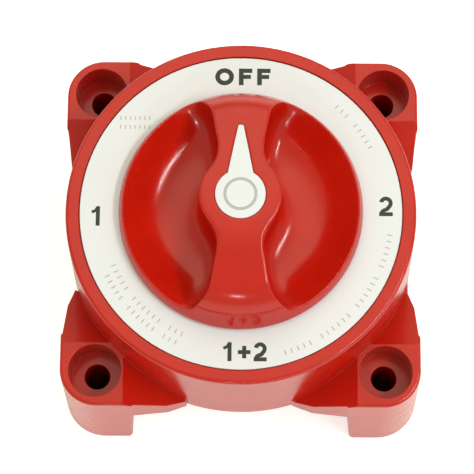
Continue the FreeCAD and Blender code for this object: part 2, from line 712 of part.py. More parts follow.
def sector(sketch, hub, reach):
    """A round hub with a sector about +Y, as one outline."""
    half = value("sector_half_angle")
    far, near = value(reach), value(hub)
    angles = (90 - half, 90 + half)
    far_points, near_points = [
        [V(radius * math.cos(math.radians(a)), radius * math.sin(math.radians(a)), 0) for a in angles]
        for radius in (far, near)
    ]
    rim = arc_between(sketch, V(0, 0, 0), far, *angles)
    left = sketch.addGeometry(Part.LineSegment(far_points[1], near_points[1]))
    back = arc_between(sketch, V(0, 0, 0), near, angles[1], angles[0] + 360)
    right = sketch.addGeometry(Part.LineSegment(near_points[0], far_points[0]))
    for one, end, other, start in ((rim, 2, left, 1), (left, 2, back, 1), (back, 2, right, 1),
                                   (right, 2, rim, 1)):
        sketch.addConstraint(Sketcher.Constraint("Coincident", one, end, other, start))
    for arc, radius in ((rim, reach), (back, hub)):
        sketch.addConstraint(Sketcher.Constraint("Coincident", arc, 3, -1, 1))
        constrain(sketch, "Radius", (arc,), radius)
    for side in (left, right):
        sketch.addConstraint(Sketcher.Constraint("PointOnObject", -1, 1, side))
    for side, turn in ((right, "90 - Dims.sector_half_angle"), (left, "-90 + Dims.sector_half_angle")):
        angle = math.radians(90 - half) if side == right else math.radians(half - 90)
        index = sketch.addConstraint(Sketcher.Constraint("Angle", side, angle))
        sketch.setExpression(f"Constraints[{index}]", turn)


def rotor_carrier():
    body = new_body("rotor_carrier")
    plan = new_sketch(body, "carrier_plan", "carrier_bottom")
    sector(plan, "carrier_hub", "carrier_reach")
    pad(body, "carrier", plan, "carrier_top - carrier_bottom")
    for turn in (-1, 1):
        angle = math.radians(QUARTER + turn * value("spring_turn"))
        sketch = new_sketch(body, f"spring_pocket_plan_{turn + 1}", "carrier_bottom")
        place = value("spring_place")
        circle(sketch, "spring_pocket", str(place * math.cos(angle)), str(place * math.sin(angle)))
        pocket(body, f"spring_pocket_{turn + 1}", sketch, "spring_pocket_top - carrier_bottom", up=True)
    square_hole(body, "hub_square", "carrier_bottom", "carrier_top")


def moving_contact():
    body = new_body("moving_contact")
    plan = new_sketch(body, "bridge_plan", "bridge_bottom")
    sector(plan, "bridge_hub", "bridge_reach")
    pad(body, "bridge", plan, "carrier_bottom - bridge_bottom")
    square_hole(body, "hub_square", "bridge_bottom", "carrier_bottom")


def contact_spring(label, turn):
    """A coil spring in the carrier, which presses the moving contact down."""
    body = new_body(label)
    angle = math.radians(QUARTER + turn * value("spring_turn"))
    wire = new_sketch(body, "wire_section", plane="XZ_Plane")
    circle(wire, "coil_wire", "coil_radius", "carrier_bottom + coil_wire + coil_gap")
    coil = feature(body, "AdditiveHelix", "coil", wire)
    coil.ReferenceAxis = (wire, ["V_Axis"])
    coil.Mode = "pitch-height-angle"
    bind(coil, "Pitch", "coil_pitch")
    bind(coil, "Height", "spring_pocket_top - carrier_bottom - 2 * coil_wire - 2 * coil_gap")
    place = value("spring_place")
    body.Placement.Base = V(place * math.cos(angle), place * math.sin(angle), 0)


# ---------------------------------------------------------------- base and terminals

TERMINALS = {
    "battery_1": ("-1 * stud_place", "0"),
    "battery_2": ("stud_place", "0"),
    "common": ("0", "stud_place"),
}


def screw_places():
    return [(sx + "post_pitch", sy + "post_pitch") for sx in ("", "-1 * ") for sy in ("", "-1 * ")]


def hexagon(sketch, across_corners, x, y):
    """A hexagon about (x, y), two of whose corners lie on the X direction."""
    half, tall = f"0.5 * {across_corners}", f"{math.sqrt(0.75)} * {across_corners}"
    outline(sketch, [
        (f"{x} + {across_corners}", y), (f"{x} + {half}", f"{y} + {tall}"),
        (f"{x} - {half}", f"{y} + {tall}"), (f"{x} - {across_corners}", y),
        (f"{x} - {half}", f"{y} - {tall}"), (f"{x} + {half}", f"{y} - {tall}"),
    ])


def base_plate():
    """The insulating rear plate: it carries the studs and parts them with barriers."""
    body = new_body("base_plate")
    disc = new_sketch(body, "base_plan", "base_bottom")
    circle(disc, "base_radius")
    pad(body, "base_disc", disc, "base_top - base_bottom")
    barriers = new_sketch(body, "barrier_plan", "base_bottom")
    for side in ("", "-1 * "):
        rectangle(barriers, f"{side}barrier_place - barrier_half", "barrier_near",
                  f"{side}barrier_place + barrier_half", "barrier_far")
    rectangle(barriers, "-1 * barrier_half", "-1 * barrier_far", "barrier_half", "-1 * barrier_near")
    pad(body, "barriers", barriers, "base_bottom - barrier_bottom", down=True)
    return body


def base_plate_cuts(body):
    pivot = new_sketch(body, "pivot_plan", "base_top")
    circle(pivot, "pivot_hole")
    pocket(body, "pivot_cut", pivot, "base_top - shaft_bottom + pivot_clear")
    for name, radius, top, depth in (
        ("stud_ways", "stud_way", "base_top", "base_top - base_bottom + overrun"),
        ("screw_ways", "screw_hole", "base_top", "base_top - base_bottom + overrun"),
    ):
        plan = new_sketch(body, f"{name}_plan", top)
        places = TERMINALS.values() if name == "stud_ways" else screw_places()
        for x, y in places:
            circle(plan, radius, x, y)
        pocket(body, name, plan, depth)
    heads = new_sketch(body, "stud_head_seats_plan", "base_top")
    for x, y in TERMINALS.values():
        hexagon(heads, "stud_head_seat", x, y)
    pocket(body, "stud_head_seats", heads, "base_top - stud_head_bottom")
    screws = new_sketch(body, "screw_head_seats_plan", "base_bottom")
    for x, y in screw_places():
        circle(screws, "screw_head_pocket", x, y)
    pocket(body, "screw_head_seats", screws, "screw_head_top - base_bottom", up=True)


def contact_bar(label, start, end, extra=None):
    """A copper bar with round ends, from a stud's place to where it meets the moving contact."""
    body = new_body(label)
    sketch = new_sketch(body, "bar_plan", "base_top")
    one = V(value(start[0]), value(start[1]), 0)
    two = V(value(end[0]), value(end[1]), 0)
    along = (two - one).normalize()
    aside = V(-along.y, along.x, 0) * value("contact_half")
    heading = math.degrees(math.atan2(along.y, along.x))
    first = arc_between(sketch, one, value("contact_half"), heading + 90, heading + 270)
    low = sketch.addGeometry(Part.LineSegment(one - aside, two - aside))
    second = arc_between(sketch, two, value("contact_half"), heading - 90, heading + 90)
    high = sketch.addGeometry(Part.LineSegment(two + aside, one + aside))
    tangent_chain(sketch, [(first, 1, 2), (low, 1, 2), (second, 1, 2), (high, 1, 2)])
    constrain(sketch, "Radius", (first,), "contact_half")
    place_point(sketch, first, 3, *start)
    place_point(sketch, second, 3, *end)
    pad(body, "bar", sketch, "contact_top - base_top")
    hole = new_sketch(body, "stud_hole_plan", "contact_top")
    circle(hole, "stud_way", *start)
    if extra:
        circle(hole, extra, *end)
    pocket(body, "stud_hole", hole, "contact_top - base_top")
    return body


def button(label, x, y):
    """A silver contact button brazed on its copper bar."""
    body = new_body(label)
    sketch = new_sketch(body, "button_plan", "contact_top")
    circle(sketch, "button_radius", x, y)
    pad(body, "button", sketch, "button_top - contact_top")


def terminal_stud(label, place):
    """A threaded stud whose hexagonal head is trapped between the base and the contact bar.

    It has its full thread radius on its free end, and its core radius where the nut holds it.
    """
    body = new_body(label)
    head = new_sketch(body, "head_plan", "stud_head_bottom")
    hexagon(head, "stud_head", *place)
    pad(body, "head", head, "base_top - stud_head_bottom")
    for name, radius, bottom, top in (
        ("held_shank", "stud_core", "stud_free_top", "stud_head_bottom"),
        ("free_end", "stud_radius", "stud_end", "stud_free_top"),
        ("rivet_end", "stud_radius", "base_top", "contact_top"),
    ):
        plan = new_sketch(body, f"{name}_plan", bottom)
        circle(plan, radius, *place)
        pad(body, name, plan, f"{top} - {bottom}")
    end = value("stud_end")
    dress(body, "lead_in", "Chamfer", lambda e: level(e, end), "stud_chamfer")


def terminal_nut(label, place):
    body = new_body(label)
    plan = new_sketch(body, "nut_plan", "nut_bottom")
    hexagon(plan, f"{HEXAGON} * nut_half", *place)
    pad(body, "nut", plan, "lock_washer_bottom - nut_bottom")
    bore = new_sketch(body, "nut_bore_plan", "lock_washer_bottom")
    circle(bore, "nut_thread", *place)
    pocket(body, "nut_bore", bore, "lock_washer_bottom - nut_bottom")
    ends = [value("nut_bottom"), value("lock_washer_bottom")]

    def corner(edge):
        """The upright edges at the hexagon's corners."""
        box = edge.BoundBox
        full = box.ZMin < ends[0] + CLOSE and box.ZMax > ends[1] - CLOSE
        return full and isinstance(edge.Curve, Part.Line)

    dress(body, "soft_corners", "Fillet", corner, "nut_chamfer")


def base_screw(x, y):
    body = new_body("base_screw")
    turned(body, "screw", "Revolution", [
        ("0", "screw_head_bottom"), ("screw_head", "screw_head_bottom", "base_head_round"),
        ("screw_head", "screw_head_top"), ("screw_shank", "screw_head_top"),
        ("screw_shank", "screw_end"), ("0", "screw_end"),
    ])
    slot = new_sketch(body, "slot_plan", "screw_head_bottom")
    rectangle(slot, "-1 * base_slot_half", "-1 * base_slot", "base_slot_half", "base_slot")
    around(body, "cross", pocket(body, "cross_slot", slot, "1", up=True), 4)
    bind(body, "Placement.Base.x", x)
    bind(body, "Placement.Base.y", y)
    return body


def base_and_terminals():
    base_plate_cuts(base_plate())
    tube("base_gasket", "gasket_outer", "gasket_inner", "base_top", "gasket_top")
    turn = math.radians(value("button_turn"))
    place = str(value("button_place") * math.cos(turn))
    button_places = {"battery_1": (f"-1 * {place}", f"-1 * {place}"),
                     "battery_2": (place, f"-1 * {place}")}
    for name, stud in TERMINALS.items():
        if name in button_places:
            contact_bar(f"{name}_contact", stud, button_places[name])
            button(f"{name}_button", *button_places[name])
        else:
            contact_bar(f"{name}_contact", stud, ("0", "0"), "common_way")
        terminal_stud(f"{name}_stud", stud)
        tube(f"{name}_flat_washer", "flat_washer_radius", "stud_way", "flat_washer_bottom",
             "base_bottom", *stud)
        tube(f"{name}_lock_washer", "lock_washer_radius", "stud_way", "lock_washer_bottom",
             "flat_washer_bottom", *stud)
        terminal_nut(f"{name}_nut", stud)
    tube("common_ring", "common_ring_outer", "common_ring_inner", "contact_top", "button_top")
    grouped("base_screws", [base_screw(x, y) for x, y in screw_places()])
    grouped("screw_inserts", [
        tube(f"insert_{i}", "post_hole", "insert_bore", "insert_bottom", "insert_top", x, y)
        for i, (x, y) in enumerate(screw_places(), start=1)
    ])


# ---------------------------------------------------------------- the whole switch

def build():
    front_housing()
    dial_plate()
    knob()
    pointer_insert()
    knob_screw()
    tube("knob_washer", "knob_washer_radius", "screw_way", "screw_seat", "knob_washer_top")
    shaft()
    shaft_bush()
    shaft_seal()
    tube("thrust_washer", "thrust_outer", "thrust_inner", "thrust_bottom", "boss_bottom")
    detent_cam()
    detent_spring("detent_spring_left", "-1")
    detent_spring("detent_spring_right", "1")
    rotor_carrier()
    moving_contact()
    contact_spring("contact_spring_left", 1)
    contact_spring("contact_spring_right", -1)
    base_and_terminals()


def check():
    """Stops with the names of objects that failed, before anything is written."""
    bad = [o.Name for o in DOC.Objects if "Invalid" in o.State or "Error" in o.State]
    bad += [p.Label for p in SUBPARTS if p.Shape.isNull() or not p.Shape.isValid()]
    if bad:
        raise SystemExit("failed: " + ", ".join(bad))


build()
DOC.recompute()
check()
os.makedirs("parts", exist_ok=True)
for subpart in SUBPARTS:
    subpart.Shape.exportStep(f"parts/{subpart.Label}.step")
    print(subpart.Label, len(subpart.Shape.Solids), round(subpart.Shape.Volume, 1))
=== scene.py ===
import json
import math

import bmesh
import bpy
import numpy as np
from mathutils import Matrix, Vector


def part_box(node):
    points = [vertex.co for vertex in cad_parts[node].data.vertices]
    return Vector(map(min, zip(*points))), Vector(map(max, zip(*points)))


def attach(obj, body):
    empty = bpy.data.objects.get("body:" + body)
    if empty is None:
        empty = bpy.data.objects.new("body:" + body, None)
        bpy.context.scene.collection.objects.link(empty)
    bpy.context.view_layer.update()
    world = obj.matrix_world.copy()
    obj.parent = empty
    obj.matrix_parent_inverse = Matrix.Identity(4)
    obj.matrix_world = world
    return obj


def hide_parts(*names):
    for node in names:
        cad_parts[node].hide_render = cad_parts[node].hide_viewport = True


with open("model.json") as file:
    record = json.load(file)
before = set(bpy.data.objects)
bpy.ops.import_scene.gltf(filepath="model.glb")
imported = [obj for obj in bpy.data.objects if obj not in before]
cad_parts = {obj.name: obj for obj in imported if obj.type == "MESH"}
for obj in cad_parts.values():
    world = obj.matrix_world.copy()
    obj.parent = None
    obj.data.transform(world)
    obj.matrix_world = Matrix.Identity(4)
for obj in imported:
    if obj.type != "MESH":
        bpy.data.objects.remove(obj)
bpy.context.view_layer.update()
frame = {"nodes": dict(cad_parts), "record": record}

MM = 0.001
NODES = frame["nodes"]

# ------------------------------------------------------------------ places read from the frame

DIAL_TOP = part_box("dial_plate")[1].z
POINTER_DISC, POINTER_LENGTH, KNOB_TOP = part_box("pointer_insert")[1]

# the top of knob and pointer: flat in the middle, then an arc of this radius
CROWN_FLAT = 1.95 * MM
CROWN_CURVE = 85 * MM


# ------------------------------------------------------------------ camera, light and floor

CAMERA_PLACE = Vector((0.0043, -0.1377, 0.5673))
CAMERA_LOOK = Vector((-0.0100, 0.2500, -0.9682))
CAMERA_UP = Vector((-0.0062, 0.9682, 0.2500))
CAMERA_LENS = 154.5
SENSOR_WIDTH = 36
NEAREST_SEEN = 0.01

# the ceiling: its middle's direction, its tint, and how its strength falls off with the cosine
# of the angle from that middle (cosine where it is weakest and strongest, then the strengths)
CEILING_TOWARDS = (0.0, 0.6, 0.8)
CEILING_TINT = (1.0, 0.985, 0.76, 1)
CEILING_FADE = (0.76, 0.97, 0.58, 1.54)

# soft boxes: heading and height in degrees, size in metres, power in watts
STRIP_RIGHT = {"heading": -18, "height": 58, "size": (0.64, 0.09), "power": 5.0}
LAMP_FRONT = {"heading": -92, "height": 25, "size": (0.12, 0.1), "power": 1.0}
LIGHT_DISTANCE = 1.2
LIGHT_TARGET = Vector((0, 0, 0.05))

FLOOR_HALF = 3.0
BOLT_HALF_PITCH = 38.25 * MM
# half width of the dark squares under the four screw holes, which paint shade at the bottom of the
# holes
PAINTED_SHADE_HALF = 6 * MM
PAPER_SHADE = 0.93
# grey of those squares, which do not glow: painted shade
PAINTED_SHADE_GREY = 0.1
PAPER_ROUGHNESS = 0.9
FLOOR_GLOW = 0.6
FLOOR_SPILL = 0.35


def make_camera():
    camera = bpy.data.objects.new("camera", bpy.data.cameras.new("camera"))
    camera.data.lens = CAMERA_LENS
    camera.data.sensor_width = SENSOR_WIDTH
    camera.data.clip_start = NEAREST_SEEN
    right = CAMERA_LOOK.cross(CAMERA_UP).normalized()
    up = right.cross(CAMERA_LOOK).normalized()
    turn = Matrix((right, up, -CAMERA_LOOK.normalized())).transposed()
    camera.matrix_world = Matrix.Translation(CAMERA_PLACE) @ turn.to_4x4()
    bpy.context.scene.collection.objects.link(camera)
    bpy.context.scene.camera = camera


def area_light(name, heading, height, size, power):
    """A soft box in a direction given by its heading and height in degrees."""
    light = bpy.data.lights.new(name, "AREA")
    light.shape = "RECTANGLE"
    light.size, light.size_y = size
    light.energy = power
    turn, lift = math.radians(heading), math.radians(height)
    aim = Vector((math.cos(lift) * math.cos(turn), math.cos(lift) * math.sin(turn), math.sin(lift)))
    lamp = bpy.data.objects.new(name, light)
    lamp.location = LIGHT_TARGET + aim * LIGHT_DISTANCE
    lamp.rotation_mode = "QUATERNION"
    lamp.rotation_quaternion = (-aim).to_track_quat("-Z", "Y")
    bpy.context.scene.collection.objects.link(lamp)


def make_studio():
    """A bright ceiling that fades to a dimmer room on the camera's side, and two soft boxes."""
    world = bpy.data.worlds.new("studio")
    world.use_nodes = True
    tree = world.node_tree
    background = tree.nodes["Background"]
    direction = tree.nodes.new("ShaderNodeTexCoord").outputs["Generated"]
    ceiling = tree.nodes.new("ShaderNodeVectorMath")
    ceiling.operation = "DOT_PRODUCT"
    ceiling.inputs[1].default_value = CEILING_TOWARDS
    tree.links.new(direction, ceiling.inputs[0])
    fade = tree.nodes.new("ShaderNodeMapRange")
    fade.interpolation_type = "SMOOTHSTEP"
    for key, number in zip(("From Min", "From Max", "To Min", "To Max"), CEILING_FADE):
        fade.inputs[key].default_value = number
    tree.links.new(ceiling.outputs["Value"], fade.inputs["Value"])
    tree.links.new(fade.outputs["Result"], background.inputs["Strength"])
    background.inputs["Color"].default_value = CEILING_TINT
    bpy.context.scene.world = world
    area_light("strip_right", **STRIP_RIGHT)
    area_light("lamp_front", **LAMP_FRONT)
    bpy.context.scene.view_settings.view_transform = "Standard"


def make_floor():
    """White paper that glows a little, with dark unlit squares under the four screw holes: painted
    shade at the bottom of the holes.
    """
    work = bmesh.new()
    cuts = [-FLOOR_HALF, -BOLT_HALF_PITCH - PAINTED_SHADE_HALF, -BOLT_HALF_PITCH + PAINTED_SHADE_HALF,
            BOLT_HALF_PITCH - PAINTED_SHADE_HALF, BOLT_HALF_PITCH + PAINTED_SHADE_HALF, FLOOR_HALF]
    grid = [[work.verts.new((x, y, 0)) for x in cuts] for y in cuts]
    strips = len(cuts) - 1
    for row in range(strips):
        for column in range(strips):
            face = work.faces.new((grid[row][column], grid[row][column + 1],
                                   grid[row + 1][column + 1], grid[row + 1][column]))
            face.material_index = int(row % 2 == 1 and column % 2 == 1)
    mesh = bpy.data.meshes.new("floor")
    work.to_mesh(mesh)
    work.free()
    floor = bpy.data.objects.new("floor", mesh)
    bpy.context.scene.collection.objects.link(floor)
    # the second paper is dark and unlit: painted shade for the bottoms of the screw holes
    papers = (("paper", FLOOR_GLOW, PAPER_SHADE), ("painted_shade_paper", 0.0, PAINTED_SHADE_GREY))
    for name, glow, shade in papers:
        paper = bpy.data.materials.new(name)
        paper.use_nodes = True
        shader = paper.node_tree.nodes["Principled BSDF"]
        shader.inputs["Base Color"].default_value = (shade, shade, shade, 1)
        shader.inputs["Roughness"].default_value = PAPER_ROUGHNESS
        shader.inputs["Emission Color"].default_value = (1, 1, 1, 1)
        seen = paper.node_tree.nodes.new("ShaderNodeLightPath").outputs["Is Camera Ray"]
        lift = paper.node_tree.nodes.new("ShaderNodeMapRange")
        lift.inputs["To Min"].default_value = FLOOR_SPILL * glow
        lift.inputs["To Max"].default_value = glow
        paper.node_tree.links.new(seen, lift.inputs["Value"])
        paper.node_tree.links.new(lift.outputs["Result"], shader.inputs["Emission Strength"])
        mesh.materials.append(paper)


# ------------------------------------------------------------------ materials

GRAIN_ROUGHNESS = 0.55
SOFT_EDGE = 0.35 * MM
BEVEL_SAMPLES = 4
LIGHTER = 1.25
SPLIT_ANGLE = 28
FLAT_FACES_LEAD = 100
# Mix node: sockets of its two colours and of its colour result
MIX_FIRST, MIX_SECOND, MIX_RESULT = 6, 7, 2

class Surface:
    """A procedural material built up node by node on one Principled shader."""

    def __init__(self, name, roughness, metallic=0.0, ior=1.49):
        self.material = bpy.data.materials.new(name)
        self.material.use_nodes = True
        self.tree = self.material.node_tree
        self.shader = self.tree.nodes["Principled BSDF"]
        self.shader.inputs["Roughness"].default_value = roughness
        self.shader.inputs["Metallic"].default_value = metallic
        self.shader.inputs["IOR"].default_value = ior
        self.places = self.tree.nodes.new("ShaderNodeTexCoord").outputs["Object"]
        self.normal = None

    def node(self, kind, **values):
        made = self.tree.nodes.new(f"ShaderNode{kind}")
        for key, value in values.items():
            if key in made.inputs:
                made.inputs[key].default_value = value
            else:
                setattr(made, key, value)
        return made

    def join(self, source, target):
        self.tree.links.new(source, target)

    def noise(self, size, detail=3.0, stretch=None):
        """A noise from 0 to 1 whose grains are about the given size in metres."""
        made = self.node("TexNoise", Scale=1 / size, Detail=detail, Roughness=GRAIN_ROUGHNESS)
        source = self.places
        if stretch:
            mapping = self.node("Mapping", Scale=stretch)
            self.join(source, mapping.inputs["Vector"])
            source = mapping.outputs["Vector"]
        self.join(source, made.inputs["Vector"])
        return made.outputs["Fac"]

    def ranged(self, source, low, high, start=0.0, end=1.0):
        made = self.node("MapRange")
        for key, value in (("From Min", start), ("From Max", end), ("To Min", low), ("To Max", high)):
            made.inputs[key].default_value = value
        self.join(source, made.inputs["Value"])
        return made.outputs["Result"]

    def mixed(self, factor, first, second):
        made = self.node("Mix", data_type="RGBA")
        self.join(factor, made.inputs["Factor"])
        for place, colour in ((MIX_FIRST, first), (MIX_SECOND, second)):
            socket = made.inputs[place]
            if isinstance(colour, tuple):
                socket.default_value = (*colour, 1)
            else:
                self.join(colour, socket)
        return made.outputs[MIX_RESULT]

    def colour(self, source):
        self.join(source, self.shader.inputs["Base Color"])

    def rough(self, source, low, high):
        """Lets the roughness wander between two values with the middle range of a noise."""
        self.join(self.ranged(source, low, high, 0.3, 0.7), self.shader.inputs["Roughness"])

    def bump(self, source, height, strength=1.0):
        """Adds relief of the given height in metres on top of what is there."""
        made = self.node("Bump", Strength=strength, Distance=height)
        self.join(source, made.inputs["Height"])
        if self.normal:
            self.join(self.normal, made.inputs["Normal"])
        self.normal = made.outputs["Normal"]
        self.join(self.normal, self.shader.inputs["Normal"])

    def rounded(self):
        """Shades sharp edges as if they were moulded with a small radius."""
        made = self.node("Bevel", samples=BEVEL_SAMPLES, Radius=SOFT_EDGE)
        self.normal = made.outputs["Normal"]

    def edges(self):
        """1 on sharp outer edges and 0 elsewhere, from the surface's own curvature."""
        geometry = self.node("NewGeometry")
        return self.ranged(geometry.outputs["Pointiness"], 0.0, 1.0, start=0.6, end=0.75)


def red_plastic():
    """Glossy injection-moulded red, with a faint flow mottle and paler edges painted on as a
    highlight.
    """
    s = Surface("red_plastic", 0.18, ior=1.5)
    mottle = s.ranged(s.noise(12 * MM, 4), 0.0, 1.0, 0.35, 0.65)
    body = s.mixed(mottle, (0.52, 0.0085, 0.002), (0.57, 0.011, 0.003))
    # sharp edges are painted paler: a painted highlight along them
    s.colour(s.mixed(s.edges(), body, (0.70, 0.035, 0.012)))
    s.rough(s.noise(3.5 * MM, 5), 0.13, 0.22)
    s.rounded()
    s.bump(s.noise(0.9 * MM, 2), 0.006 * MM)
    s.bump(s.noise(9 * MM, 2), 0.03 * MM)
    return s.material


def white_plastic():
    """The dial's off-white satin laminate, with a fine grain."""
    s = Surface("white_plastic", 0.42)
    shade = s.ranged(s.noise(20 * MM, 4), 0.0, 1.0, 0.3, 0.7)
    s.colour(s.mixed(shade, (0.80, 0.825, 0.90), (0.825, 0.85, 0.925)))
    s.rough(s.noise(2 * MM, 3), 0.36, 0.5)
    s.bump(s.noise(0.4 * MM, 2), 0.008 * MM)
    return s.material


def ink(name, colour):
    """Printing ink, slightly uneven in shade and gloss."""
    s = Surface(name, 0.5)
    s.colour(s.mixed(s.noise(0.8 * MM, 3), colour, tuple(c * LIGHTER for c in colour)))
    s.rough(s.noise(0.6 * MM, 2), 0.42, 0.58)
    return s.material


def black_plastic():
    """Glass-filled black: matt, with pale flecks and a coarser grain."""
    s = Surface("black_plastic", 0.5)
    fleck = s.ranged(s.noise(0.5 * MM, 6), 0.0, 1.0, 0.6, 0.75)
    s.colour(s.mixed(fleck, (0.018, 0.018, 0.02), (0.05, 0.05, 0.052)))
    s.rough(s.noise(2 * MM, 4), 0.4, 0.62)
    s.bump(s.noise(0.6 * MM, 4), 0.03 * MM)
    return s.material


def metal(name, dark, light, roughness, stretch=(1, 1, 14)):
    """A machined metal: brushed lines, a slow tarnish and brighter edges."""
    s = Surface(name, roughness, metallic=1.0)
    tarnish = s.ranged(s.noise(4 * MM, 5), 0.0, 1.0, 0.35, 0.65)
    body = s.mixed(tarnish, dark, light)
    s.colour(s.mixed(s.edges(), body, tuple(min(1.0, c * LIGHTER) for c in light)))
    s.rough(s.noise(0.8 * MM, 3, stretch), roughness * 0.7, roughness * 1.4)
    s.bump(s.noise(0.5 * MM, 3, stretch), 0.015 * MM)
    return s.material


def rubber():
    """Matt black rubber with a fine skin."""
    s = Surface("rubber", 0.7)
    s.colour(s.mixed(s.noise(3 * MM, 4), (0.02, 0.02, 0.02), (0.045, 0.045, 0.043)))
    s.rough(s.noise(1 * MM, 3), 0.6, 0.8)
    s.bump(s.noise(0.5 * MM, 3), 0.02 * MM)
    return s.material


def make_materials():
    return {
        "red_plastic": red_plastic(),
        "white_plastic": white_plastic(),
        "black_plastic": black_plastic(),
        "steel": metal("steel", (0.5, 0.5, 0.49), (0.66, 0.65, 0.63), 0.26),
        "copper": metal("copper", (0.5, 0.27, 0.17), (0.74, 0.45, 0.31), 0.3),
        "silver": metal("silver", (0.7, 0.69, 0.66), (0.86, 0.85, 0.82), 0.3),
        "brass": metal("brass", (0.55, 0.4, 0.17), (0.78, 0.6, 0.3), 0.25),
        "rubber": rubber(),
        "ink_dark": ink("ink_dark", (0.022, 0.03, 0.026)),
        "ink_pale": ink("ink_pale", (0.42, 0.44, 0.42)),
    }


def dress_nodes(materials):
    """Gives every CAD node the material of its slot, and the housing crisp flat faces."""
    slots = {row["node"]: row["material_slot"] for row in frame["record"]["subparts"]}
    for name, node in NODES.items():
        node.data.materials.clear()
        node.data.materials.append(materials[slots[name]])
    housing = NODES["front_housing"]
    split = housing.modifiers.new("split", "EDGE_SPLIT")
    split.split_angle = math.radians(SPLIT_ANGLE)
    level = housing.modifiers.new("level", "WEIGHTED_NORMAL")
    level.keep_sharp = True
    level.weight = FLAT_FACES_LEAD


# ------------------------------------------------------------------ pieces made of meshes

# the pointer's needle: half widths at root and tip, the tip's rounding and its lean in degrees
NEEDLE_ROOT = 3.2 * MM
NEEDLE_TIP = 0.62 * MM
TIP_ROUND = 0.55 * MM
TIP_LEAN = 8
TIP_STEPS = 12
DISC_STEPS = 96

# the plug fills the CAD's seat before the knob is softened, and the seat is cut afresh
PLUG_GROW = 0.35 * MM
PLUG_DEPTH = 4.0 * MM
PLUG_SUNK = 0.25 * MM
SEAT_GROW = 0.14 * MM
SEAT_DEPTH = 2.7 * MM
SEAT_ABOVE = 1 * MM
VOXEL = 0.3 * MM
SOFTEN_STEP = 0.5
EDGE_PASSES = 8
SCOOP_PASSES = 450

# the knob's outline as if it had no scoops, as radius and height in millimetres
KNOB_OUTLINE = ((0, 77.5), (12, 77.2), (24.4, 74.9), (28.5, 70.8), (31.5, 62.5))
SCOOP_FLOOR = 57.4 * MM
SCOOP_INNER = 8 * MM
SCOOP_OUTER = 30.6 * MM
BAR_HALF = 5.2 * MM
LIP_DEPTH = 0.9 * MM
LIP_BLEND = 2.5 * MM

def finish_piece(name, mesh, body, material):
    """Makes a visible piece of a mesh, on a body and in a material slot."""
    piece = bpy.data.objects.new(name, mesh)
    bpy.context.scene.collection.objects.link(piece)
    mesh.materials.clear()
    mesh.materials.append(material)
    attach(piece, body)
    return piece


def knob_drop(x, y):
    """How far the knob's curved top lies below its middle at a place."""
    return max(0.0, math.hypot(x, y) - CROWN_FLAT) ** 2 / (2 * CROWN_CURVE)


def prism(points, low, high, follow=0.0):
    """A closed mesh of a plan outline between two heights, its top following the knob's."""
    work = bmesh.new()
    rings = [[work.verts.new((x, y, low)) for x, y in points],
             [work.verts.new((x, y, high - follow * knob_drop(x, y))) for x, y in points]]
    work.faces.new(rings[0][::-1])
    work.faces.new(rings[1])
    count = len(points)
    for i in range(count):
        j = (i + 1) % count
        work.faces.new((rings[0][i], rings[0][j], rings[1][j], rings[1][i]))
    bmesh.ops.recalc_face_normals(work, faces=work.faces)
    return work


def pointer_outline(grow):
    """The pointer's plan, disc and needle in one outline, grown outwards by a margin."""
    disc = POINTER_DISC + grow
    root = NEEDLE_ROOT + grow
    tip = NEEDLE_TIP + grow
    length = POINTER_LENGTH + grow
    start = math.atan2(math.sqrt(disc**2 - root**2), root)
    sweep = math.tau - 2 * (math.pi / 2 - start)
    points = []
    for i in range(DISC_STEPS + 1):
        angle = math.pi - start + sweep * i / DISC_STEPS
        points.append((disc * math.cos(angle), disc * math.sin(angle)))
    for i in range(TIP_STEPS + 1):
        angle = math.radians(TIP_LEAN) + math.radians(180 - 2 * TIP_LEAN) * i / TIP_STEPS
        points.append((tip * math.cos(angle), length - TIP_ROUND + TIP_ROUND * math.sin(angle)))
    return points


def join_meshes(name, parts):
    """One mesh holding several others."""
    mesh = bpy.data.meshes.new(name)
    work = bmesh.new()
    for part in parts:
        work.from_mesh(part)
    work.to_mesh(mesh)
    work.free()
    return mesh


def soften(mesh, place_weight, passes):
    """Moves each vertex towards its neighbours' mean, as far as its place's weight says."""
    count = len(mesh.vertices)
    places = np.empty(count * 3)
    mesh.vertices.foreach_get("co", places)
    places = places.reshape(count, 3)
    ends = np.empty(len(mesh.edges) * 2, dtype=np.int64)
    mesh.edges.foreach_get("vertices", ends)
    first, second = ends.reshape(-1, 2).T
    valence = np.bincount(first, minlength=count) + np.bincount(second, minlength=count)
    weight = place_weight(places)[:, None] * SOFTEN_STEP
    for _ in range(passes):
        total = np.zeros_like(places)
        for axis in range(3):
            total[:, axis] = np.bincount(first, places[second, axis], count)
            total[:, axis] += np.bincount(second, places[first, axis], count)
        places += weight * (total / valence[:, None] - places)
    mesh.vertices.foreach_set("co", places.ravel())
    mesh.update()


def in_scoop(places):
    """1 deep in the finger scoops, falling to 0 at their upper edges and elsewhere."""
    reach = np.hypot(places[:, 0], places[:, 1])
    radii, heights = np.array(KNOB_OUTLINE).T * MM
    depth = np.interp(reach, radii, heights) - places[:, 2]
    inside = (places[:, 2] > SCOOP_FLOOR) & (reach > SCOOP_INNER) & (reach < SCOOP_OUTER)
    inside &= np.abs(places[:, 0]) > BAR_HALF
    return np.clip((depth - LIP_DEPTH) / LIP_BLEND, 0, 1) * inside


def modified(piece):
    """Replaces a piece's mesh by what its modifiers make of it."""
    bpy.context.view_layer.update()
    depsgraph = bpy.context.evaluated_depsgraph_get()
    baked = bpy.data.meshes.new_from_object(piece.evaluated_get(depsgraph), depsgraph=depsgraph)
    piece.modifiers.clear()
    piece.data = baked
    return baked


